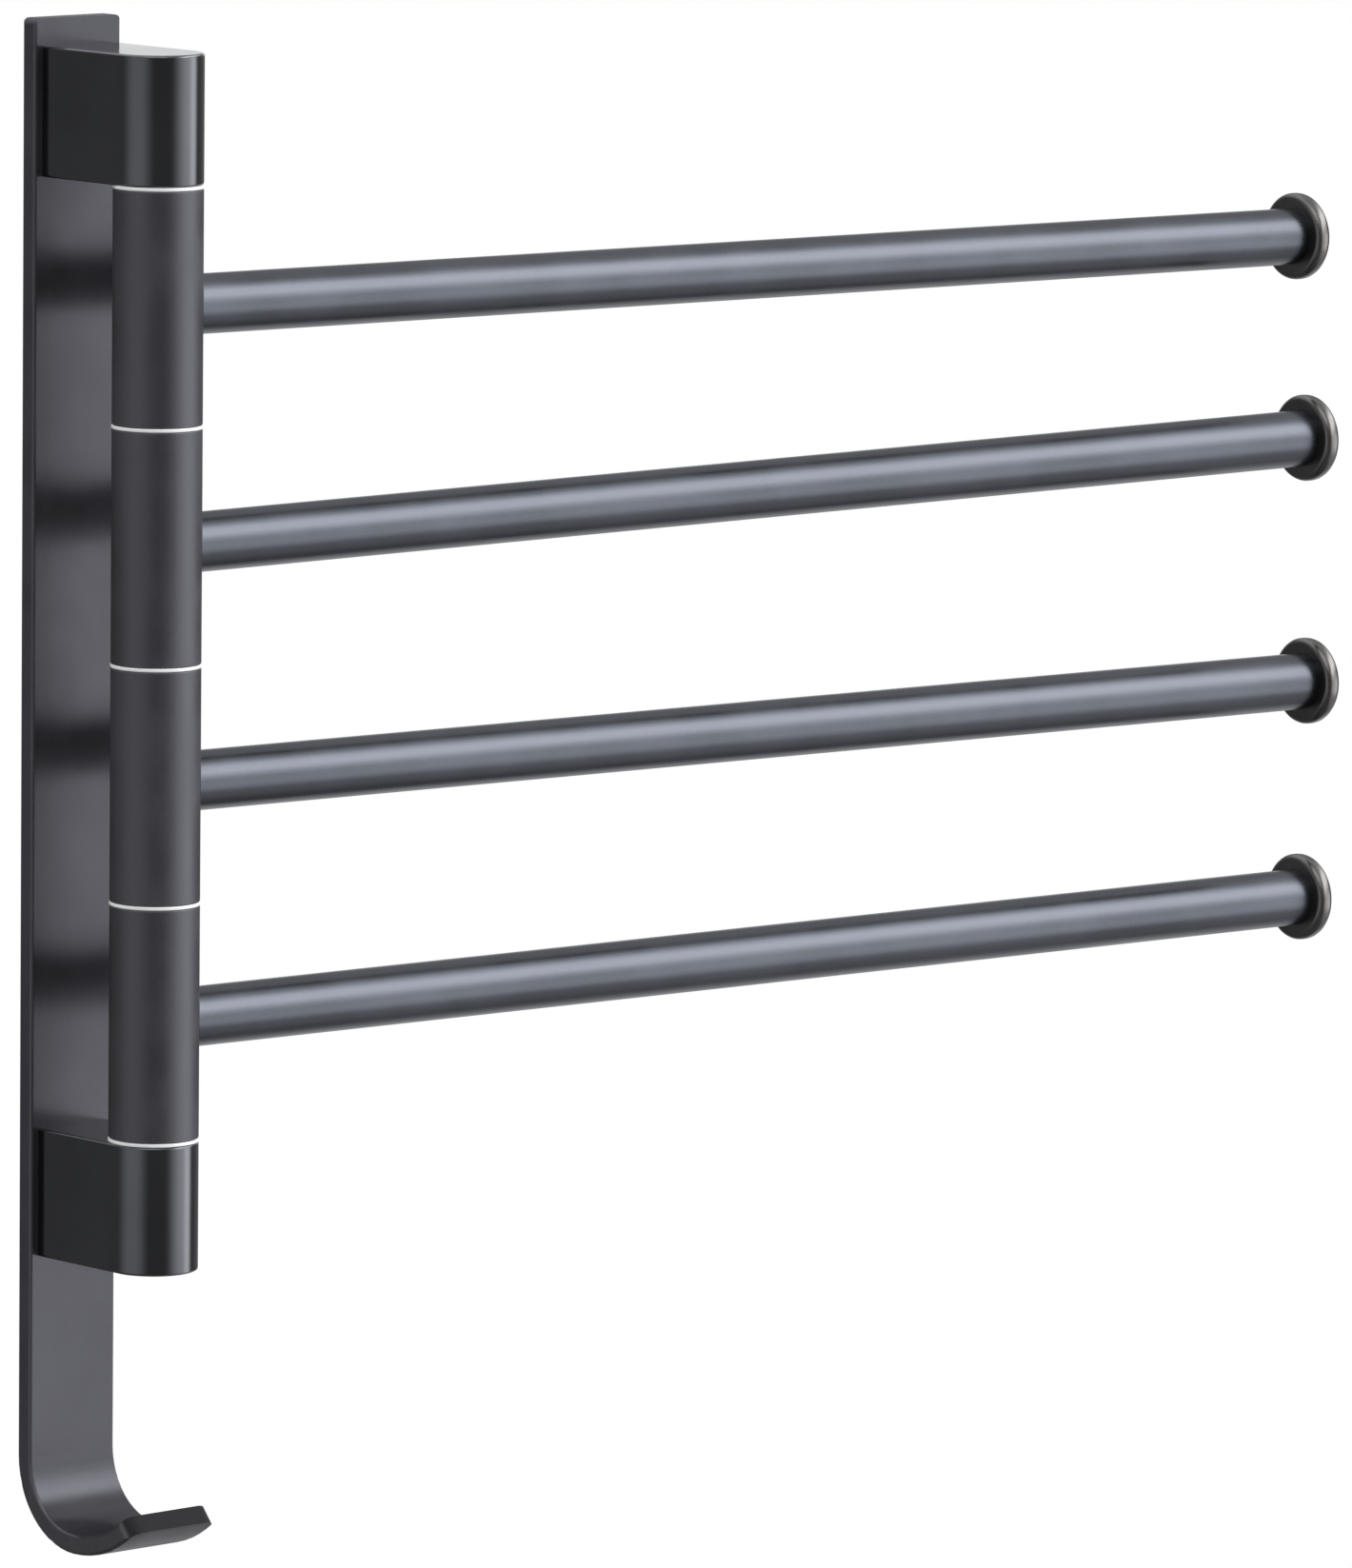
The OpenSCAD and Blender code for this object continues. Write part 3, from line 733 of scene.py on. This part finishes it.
# %% From a tree to a plain mesh
def make_piece(name, tree, seats, body, slot_name, stands_for, finish, **sizes):
    """Runs a tree on the points where its parts sit, and keeps the result as a plain mesh."""
    seat_mesh = bpy.data.meshes.new(name + "_seats")
    seat_mesh.from_pydata(seats, [], [])
    sizes["Finish"] = finish
    rough = bpy.data.objects.new(name + "_rough", seat_mesh)
    bpy.context.scene.collection.objects.link(rough)
    modifier = rough.modifiers.new("rule", "NODES")
    modifier.node_group = tree
    for item in tree.interface.items_tree:
        label = item.name.replace(" ", "_")
        if item.in_out == "INPUT" and label in sizes:
            modifier[item.identifier] = sizes.pop(label)
    assert not sizes, sizes
    bpy.context.view_layer.update()
    evaluated = rough.evaluated_get(bpy.context.evaluated_depsgraph_get())
    mesh = bpy.data.meshes.new_from_object(evaluated)
    mesh.name = name
    mesh.materials.clear()
    mesh.materials.append(finish)
    mesh.polygons.foreach_set("material_index", [0] * len(mesh.polygons))
    bpy.data.objects.remove(rough)
    piece = bpy.data.objects.new(name, mesh)
    bpy.context.scene.collection.objects.link(piece)
    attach(piece, body)
    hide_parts(*stands_for)
    box = [[round(1000 * pick(v.co[k] for v in mesh.vertices), 2) for k in range(3)]
           for pick in (min, max)]
    print(name, "faces", len(mesh.polygons), "box in mm", box)
    return piece


# %% Helpers for turned shapes
WELD = 0.000002
RING_CREASE, SCREW_CREASE, CAP_CREASE = 50, 28, 40


def lathe_sheet(tree, last_row, columns):
    """A flat sheet of quads to wrap round an axis, with the row and the turn of each point."""
    sheet = put(tree, "GeometryNodeMeshGrid")
    sheet.inputs["Size X"].default_value = 1.0
    sheet.inputs["Size Y"].default_value = 1.0
    feed(tree, sheet.inputs["Vertices X"], calc(tree, "ADD", columns, 1.0))
    feed(tree, sheet.inputs["Vertices Y"], calc(tree, "ADD", last_row, 1.0))
    spot = put(tree, "ShaderNodeSeparateXYZ")
    feed(tree, spot.inputs[0], put(tree, "GeometryNodeInputPosition").outputs[0])
    turn = calc(tree, "ADD", spot.outputs["X"], 0.5)
    down = calc(tree, "MULTIPLY", calc(tree, "ADD", spot.outputs["Y"], 0.5), last_row)
    return sheet.outputs[0], calc(tree, "ROUND", down), turn


def spin(tree, sheet, turn, station, stations):
    """Wraps the sheet: each station is a radius and a height, and the edges are welded."""
    chosen = []
    for part in (0, 1):
        switch = put(tree, "GeometryNodeIndexSwitch", data_type="FLOAT")
        while len(switch.index_switch_items) < len(stations):
            switch.index_switch_items.new()
        feed(tree, switch.inputs["Index"], station)
        for number, pair in enumerate(stations):
            feed(tree, switch.inputs[str(number)], pair[part])
        chosen.append(switch.outputs[0])
    angle = calc(tree, "MULTIPLY", turn, math.tau)
    place = put(tree, "ShaderNodeCombineXYZ")
    feed(tree, place.inputs["X"], calc(tree, "MULTIPLY", chosen[0], calc(tree, "COSINE", angle)))
    feed(tree, place.inputs["Y"], calc(tree, "MULTIPLY", chosen[0], calc(tree, "SINE", angle)))
    feed(tree, place.inputs["Z"], chosen[1])
    wrapped = put(tree, "GeometryNodeSetPosition")
    feed(tree, wrapped.inputs[0], sheet)
    feed(tree, wrapped.inputs["Position"], place.outputs[0])
    welded = put(tree, "GeometryNodeMergeByDistance")
    feed(tree, welded.inputs[0], wrapped.outputs[0])
    welded.inputs["Distance"].default_value = WELD
    return welded.outputs[0]


# %% [markdown]
# ## The thin rings
#
# Five rings keep the barrels and the brackets from rubbing on each other. They are one ring
# repeated: flat, with a bore for the bolt and its rims slightly rounded. The tree draws the
# section as a rounded rectangle and carries it round a circle. The rims matter more than their
# size suggests, because each one catches a thin line of light between two black barrels.

# %% The ring tree
RING_STEPS = 96
RIM_POINTS = 3
ring_tree, takes, last = geometry_tree("flat_ring", {
    "Outer Radius": 0.01135, "Bore Radius": 0.00405, "Thickness": 0.0009, "Rim Round": 0.00022})
section = put(ring_tree, "GeometryNodeCurvePrimitiveQuadrilateral")
wide = calc(ring_tree, "SUBTRACT", takes["Outer Radius"], takes["Bore Radius"])
feed(ring_tree, section.inputs["Width"], wide)
feed(ring_tree, section.inputs["Height"], takes["Thickness"])
rounded = put(ring_tree, "GeometryNodeFilletCurve", mode="POLY")
feed(ring_tree, rounded.inputs[0], section.outputs[0])
feed(ring_tree, rounded.inputs["Radius"], takes["Rim Round"])
rounded.inputs["Count"].default_value = RIM_POINTS
path = put(ring_tree, "GeometryNodeCurvePrimitiveCircle")
path.inputs["Resolution"].default_value = RING_STEPS
feed(ring_tree, path.inputs["Radius"],
     calc(ring_tree, "MULTIPLY_ADD", wide, 0.5, takes["Bore Radius"]))
turned = put(ring_tree, "GeometryNodeCurveToMesh")
feed(ring_tree, turned.inputs[0], path.outputs[0])
feed(ring_tree, turned.inputs["Profile Curve"], rounded.outputs[0])
finish_tree(ring_tree, turned.outputs[0], takes, RING_CREASE, last)
print("ring tree:", len(ring_tree.nodes), "nodes")

# %% The five rings
make_piece("spacer_rings", ring_tree,
           [(0, AXIS_Y, middle_height(f"washer_{i}")) for i in RINGS],
           "root", "white_washer", [f"washer_{i}" for i in RINGS], ring_plastic,
           Direction=(0, 0, 1))

# %% [markdown]
# ## The socket screws
#
# Three kinds of fastener hold the rack together: the long bolt through the barrels, the
# countersunk screws behind the plate, and a short screw inside each barrel that holds its arm.
# All are the same rule with other sizes: a head with a hexagon socket, a shank, and a thread
# that climbs one pitch per turn. The tree starts from a flat sheet of quads. Its columns go round
# the screw and its rows go down it, past the socket, the head and the thread, and each row asks
# an Index Switch for its radius and its height. The thread is cut by a wave that slips a little
# with every column, so it winds by itself, and the sheet is welded where its edges meet.

# %% The screw tree
HEAD_ROWS = 10
ROWS_PER_PITCH = 8.0
screw_tree, takes, last = geometry_tree("socket_screw", {
    "Head Radius": 0.00375, "Head Height": 0.00175, "Cone": 1.0, "Shank Radius": 0.002,
    "Length": 0.0148, "Socket Radius": 0.0015, "Socket Depth": 0.0022, "Edge": 0.0003,
    "Knurl": 0.0, "Thread Start": 0.0025, "Pitch": 0.0007, "Thread Depth": 0.0004, "Columns": 24})


def sums(operation, *terms):
    """One step of arithmetic in the screw's tree."""
    return calc(screw_tree, operation, *terms)


threaded = sums("SUBTRACT", takes["Length"], takes["Thread Start"])
pitches = sums("DIVIDE", threaded, takes["Pitch"])
thread_rows = sums("CEIL", sums("MULTIPLY", pitches, ROWS_PER_PITCH))
last_row = sums("ADD", thread_rows, HEAD_ROWS + 2.0)
sheet, row, turn = lathe_sheet(screw_tree, last_row, takes["Columns"])

# %% The screw's head and socket
SIDE_LOW = 0.5
CONE_FOOT = 0.9
sixth = sums("MODULO", sums("MULTIPLY", turn, math.tau), math.tau / 6)
flats = sums("DIVIDE", math.cos(math.pi / 6), sums("COSINE", sums("SUBTRACT", sixth, math.pi / 6)))
socket_wall = sums("MULTIPLY", takes["Socket Radius"], flats)
odd_column = sums("MODULO", sums("ROUND", sums("MULTIPLY", turn, takes["Columns"])), 2.0)
groove = sums("MULTIPLY", takes["Knurl"], odd_column)
straight = sums("SUBTRACT", 1.0, takes["Cone"])
half_edge = sums("MULTIPLY", takes["Edge"], 0.5)


def head_blend(if_straight, if_cone):
    """Chooses between a straight head and a countersunk one."""
    return sums("MULTIPLY_ADD", if_cone, takes["Cone"], sums("MULTIPLY", if_straight, straight))


def on_cone(depth):
    """The radius of a right-angled countersunk head at a depth."""
    return sums("SUBTRACT", takes["Head Radius"], depth)


side_low = sums("MULTIPLY", takes["Head Height"], SIDE_LOW)
under = sums("MULTIPLY", takes["Head Height"], CONE_FOOT)

# %% The screw's thread and point
POINT_DEPTH = 1.3
along = sums("DIVIDE", sums("SUBTRACT", row, float(HEAD_ROWS)), thread_rows)
thread_height = sums("MULTIPLY_ADD", along, threaded, takes["Thread Start"])
wave = sums("FRACT", sums("SUBTRACT", sums("DIVIDE", thread_height, takes["Pitch"]), turn))
notch = sums("ABSOLUTE", sums("MULTIPLY_ADD", wave, 2.0, -1.0))
starts = fade(screw_tree, along, 0.0, sums("DIVIDE", takes["Pitch"], threaded))
cut = sums("MULTIPLY", sums("MULTIPLY", takes["Thread Depth"], notch), starts)
tip_radius = sums("MULTIPLY_ADD", takes["Thread Depth"], -POINT_DEPTH, takes["Shank Radius"])
tip_cone = sums("ADD", tip_radius, sums("SUBTRACT", takes["Length"], thread_height))

# %% The screw's stations in order
stations = [
    (0.0, sums("MULTIPLY_ADD", takes["Socket Radius"], 0.3, takes["Socket Depth"])),
    (socket_wall, takes["Socket Depth"]),
    (socket_wall, takes["Edge"]),
    (sums("ADD", takes["Socket Radius"], half_edge), 0.0),
    (sums("SUBTRACT", takes["Head Radius"], takes["Edge"]), 0.0),
    (sums("SUBTRACT", head_blend(takes["Head Radius"], on_cone(half_edge)), groove),
     head_blend(takes["Edge"], half_edge)),
    (sums("SUBTRACT", head_blend(takes["Head Radius"], on_cone(side_low)), groove),
     head_blend(sums("SUBTRACT", takes["Head Height"], half_edge), side_low)),
    (head_blend(on_cone(half_edge), on_cone(under)), head_blend(takes["Head Height"], under)),
    (takes["Shank Radius"], takes["Head Height"]),
    (takes["Shank Radius"], sums("MULTIPLY_ADD", takes["Pitch"], -0.2, takes["Thread Start"])),
    (sums("MINIMUM", sums("SUBTRACT", takes["Shank Radius"], cut), tip_cone), thread_height),
    (sums("MULTIPLY", tip_radius, 0.6), takes["Length"]),
    (0.0, takes["Length"])]
station = sums("ADD", sums("MINIMUM", row, float(HEAD_ROWS)),
               sums("MAXIMUM", sums("SUBTRACT", row, sums("SUBTRACT", last_row, 2.0)), 0.0))
shape = spin(screw_tree, sheet, turn, station, stations)
finish_tree(screw_tree, shape, takes, SCREW_CREASE, last)
print("screw tree:", len(screw_tree.nodes), "nodes,", len(stations), "stations")

# %% The screws behind the plate and the long bolt
SCREW_OFF = 0.012
SCREW_SUNK = 0.0002
BOLT_FOOT = -0.1475
make_piece("plate_screws", screw_tree,
           [(0, -SCREW_SUNK, middle + side * SCREW_OFF)
            for middle in BRACKET_MIDDLES.values() for side in (1, -1)],
           "root", "zinc_steel", ["bracket_screws"], zinc_steel, Direction=(0, -1, 0))
make_piece("long_bolt", screw_tree, [(0, AXIS_Y, BOLT_FOOT)], "root", "stainless",
           ["pivot_bolt"], stainless,
           Head_Radius=0.0065, Head_Height=0.006, Cone=0.0, Shank_Radius=0.004, Length=0.2915,
           Socket_Radius=0.003, Socket_Depth=0.0036, Edge=0.0005, Knurl=0.00022,
           Thread_Start=0.2715, Pitch=0.00125, Thread_Depth=0.0007, Columns=96,
           Direction=(0, 0, 1))

# %% The arm screws
HEAD_OUT = 0.0056
for i, way in arm_ways.items():
    make_piece(f"arm_root_screw_{i}", screw_tree, [arm_roots[i] + way * HEAD_OUT],
               f"arm_{i}", "zinc_steel", [f"arm_screw_{i}"], zinc_steel,
               Head_Radius=0.00425, Head_Height=0.0026, Cone=0.0, Shank_Radius=0.0025,
               Length=0.01885, Socket_Radius=0.001875, Socket_Depth=0.00156, Edge=0.0003,
               Knurl=0.00015, Thread_Start=0.0062, Pitch=0.0008, Thread_Depth=0.00045,
               Columns=48, Direction=tuple(way))

# %% [markdown]
# ## The caps at the arm tips
#
# Each arm ends in a turned disc, wider than the tube, so that a towel does not slide off. Its rim
# is turned to a soft round, and a stem holds it in the tube. The round rim decides how the cap
# looks: the light of the front sheet runs along the middle of the rim, and both of its sides
# turn away to the dark. A bevel on a cylinder would do as well. The lathe tree is used again
# because the two rounds then have sizes of their own.

# %% The cap tree
ARM_REACH = 0.381
CAP_THICKNESS = 0.005
ROUND_STEPS = 6
cap_tree, takes, last = geometry_tree("turned_cap", {
    "Radius": CAP_RADIUS, "Thickness": CAP_THICKNESS, "Back Round": 0.0017, "Front Round": 0.0024,
    "Stem Radius": 0.00595, "Stem Length": 0.016, "Columns": 120})


def rim_round(size, low, start):
    """The stations of a quarter round on the rim, from an angle on."""
    inner = calc(cap_tree, "SUBTRACT", takes["Radius"], size)
    return [(calc(cap_tree, "MULTIPLY_ADD", size, math.cos(a), inner),
             calc(cap_tree, "MULTIPLY_ADD", size, math.sin(a), low))
            for a in [start + math.pi / 2 * k / ROUND_STEPS for k in range(ROUND_STEPS + 1)]]


stem_end = calc(cap_tree, "MULTIPLY", takes["Stem Length"], -1.0)
front_low = calc(cap_tree, "SUBTRACT", takes["Thickness"], takes["Front Round"])
stations = [
    (0.0, stem_end),
    (calc(cap_tree, "MULTIPLY", takes["Stem Radius"], 0.88), stem_end),
    (takes["Stem Radius"], calc(cap_tree, "MULTIPLY", stem_end, 0.95)),
    (takes["Stem Radius"], 0.0),
    *rim_round(takes["Back Round"], takes["Back Round"], -math.pi / 2),
    *rim_round(takes["Front Round"], front_low, 0.0),
    (calc(cap_tree, "MULTIPLY", takes["Radius"], 0.4), takes["Thickness"]),
    (0.0, takes["Thickness"])]
sheet, row, turn = lathe_sheet(cap_tree, float(len(stations) - 1), takes["Columns"])
finish_tree(cap_tree, spin(cap_tree, sheet, turn, row, stations), takes, CAP_CREASE, last)
print("cap tree:", len(cap_tree.nodes), "nodes,", len(stations), "stations")

# %% The four caps
for i, way in arm_ways.items():
    make_piece(f"round_cap_{i}", cap_tree, [arm_roots[i] + way * (ARM_REACH - CAP_THICKNESS)],
               f"arm_{i}", "cap_black", [f"end_cap_{i}"], cap_finishes[i], Direction=tuple(way))
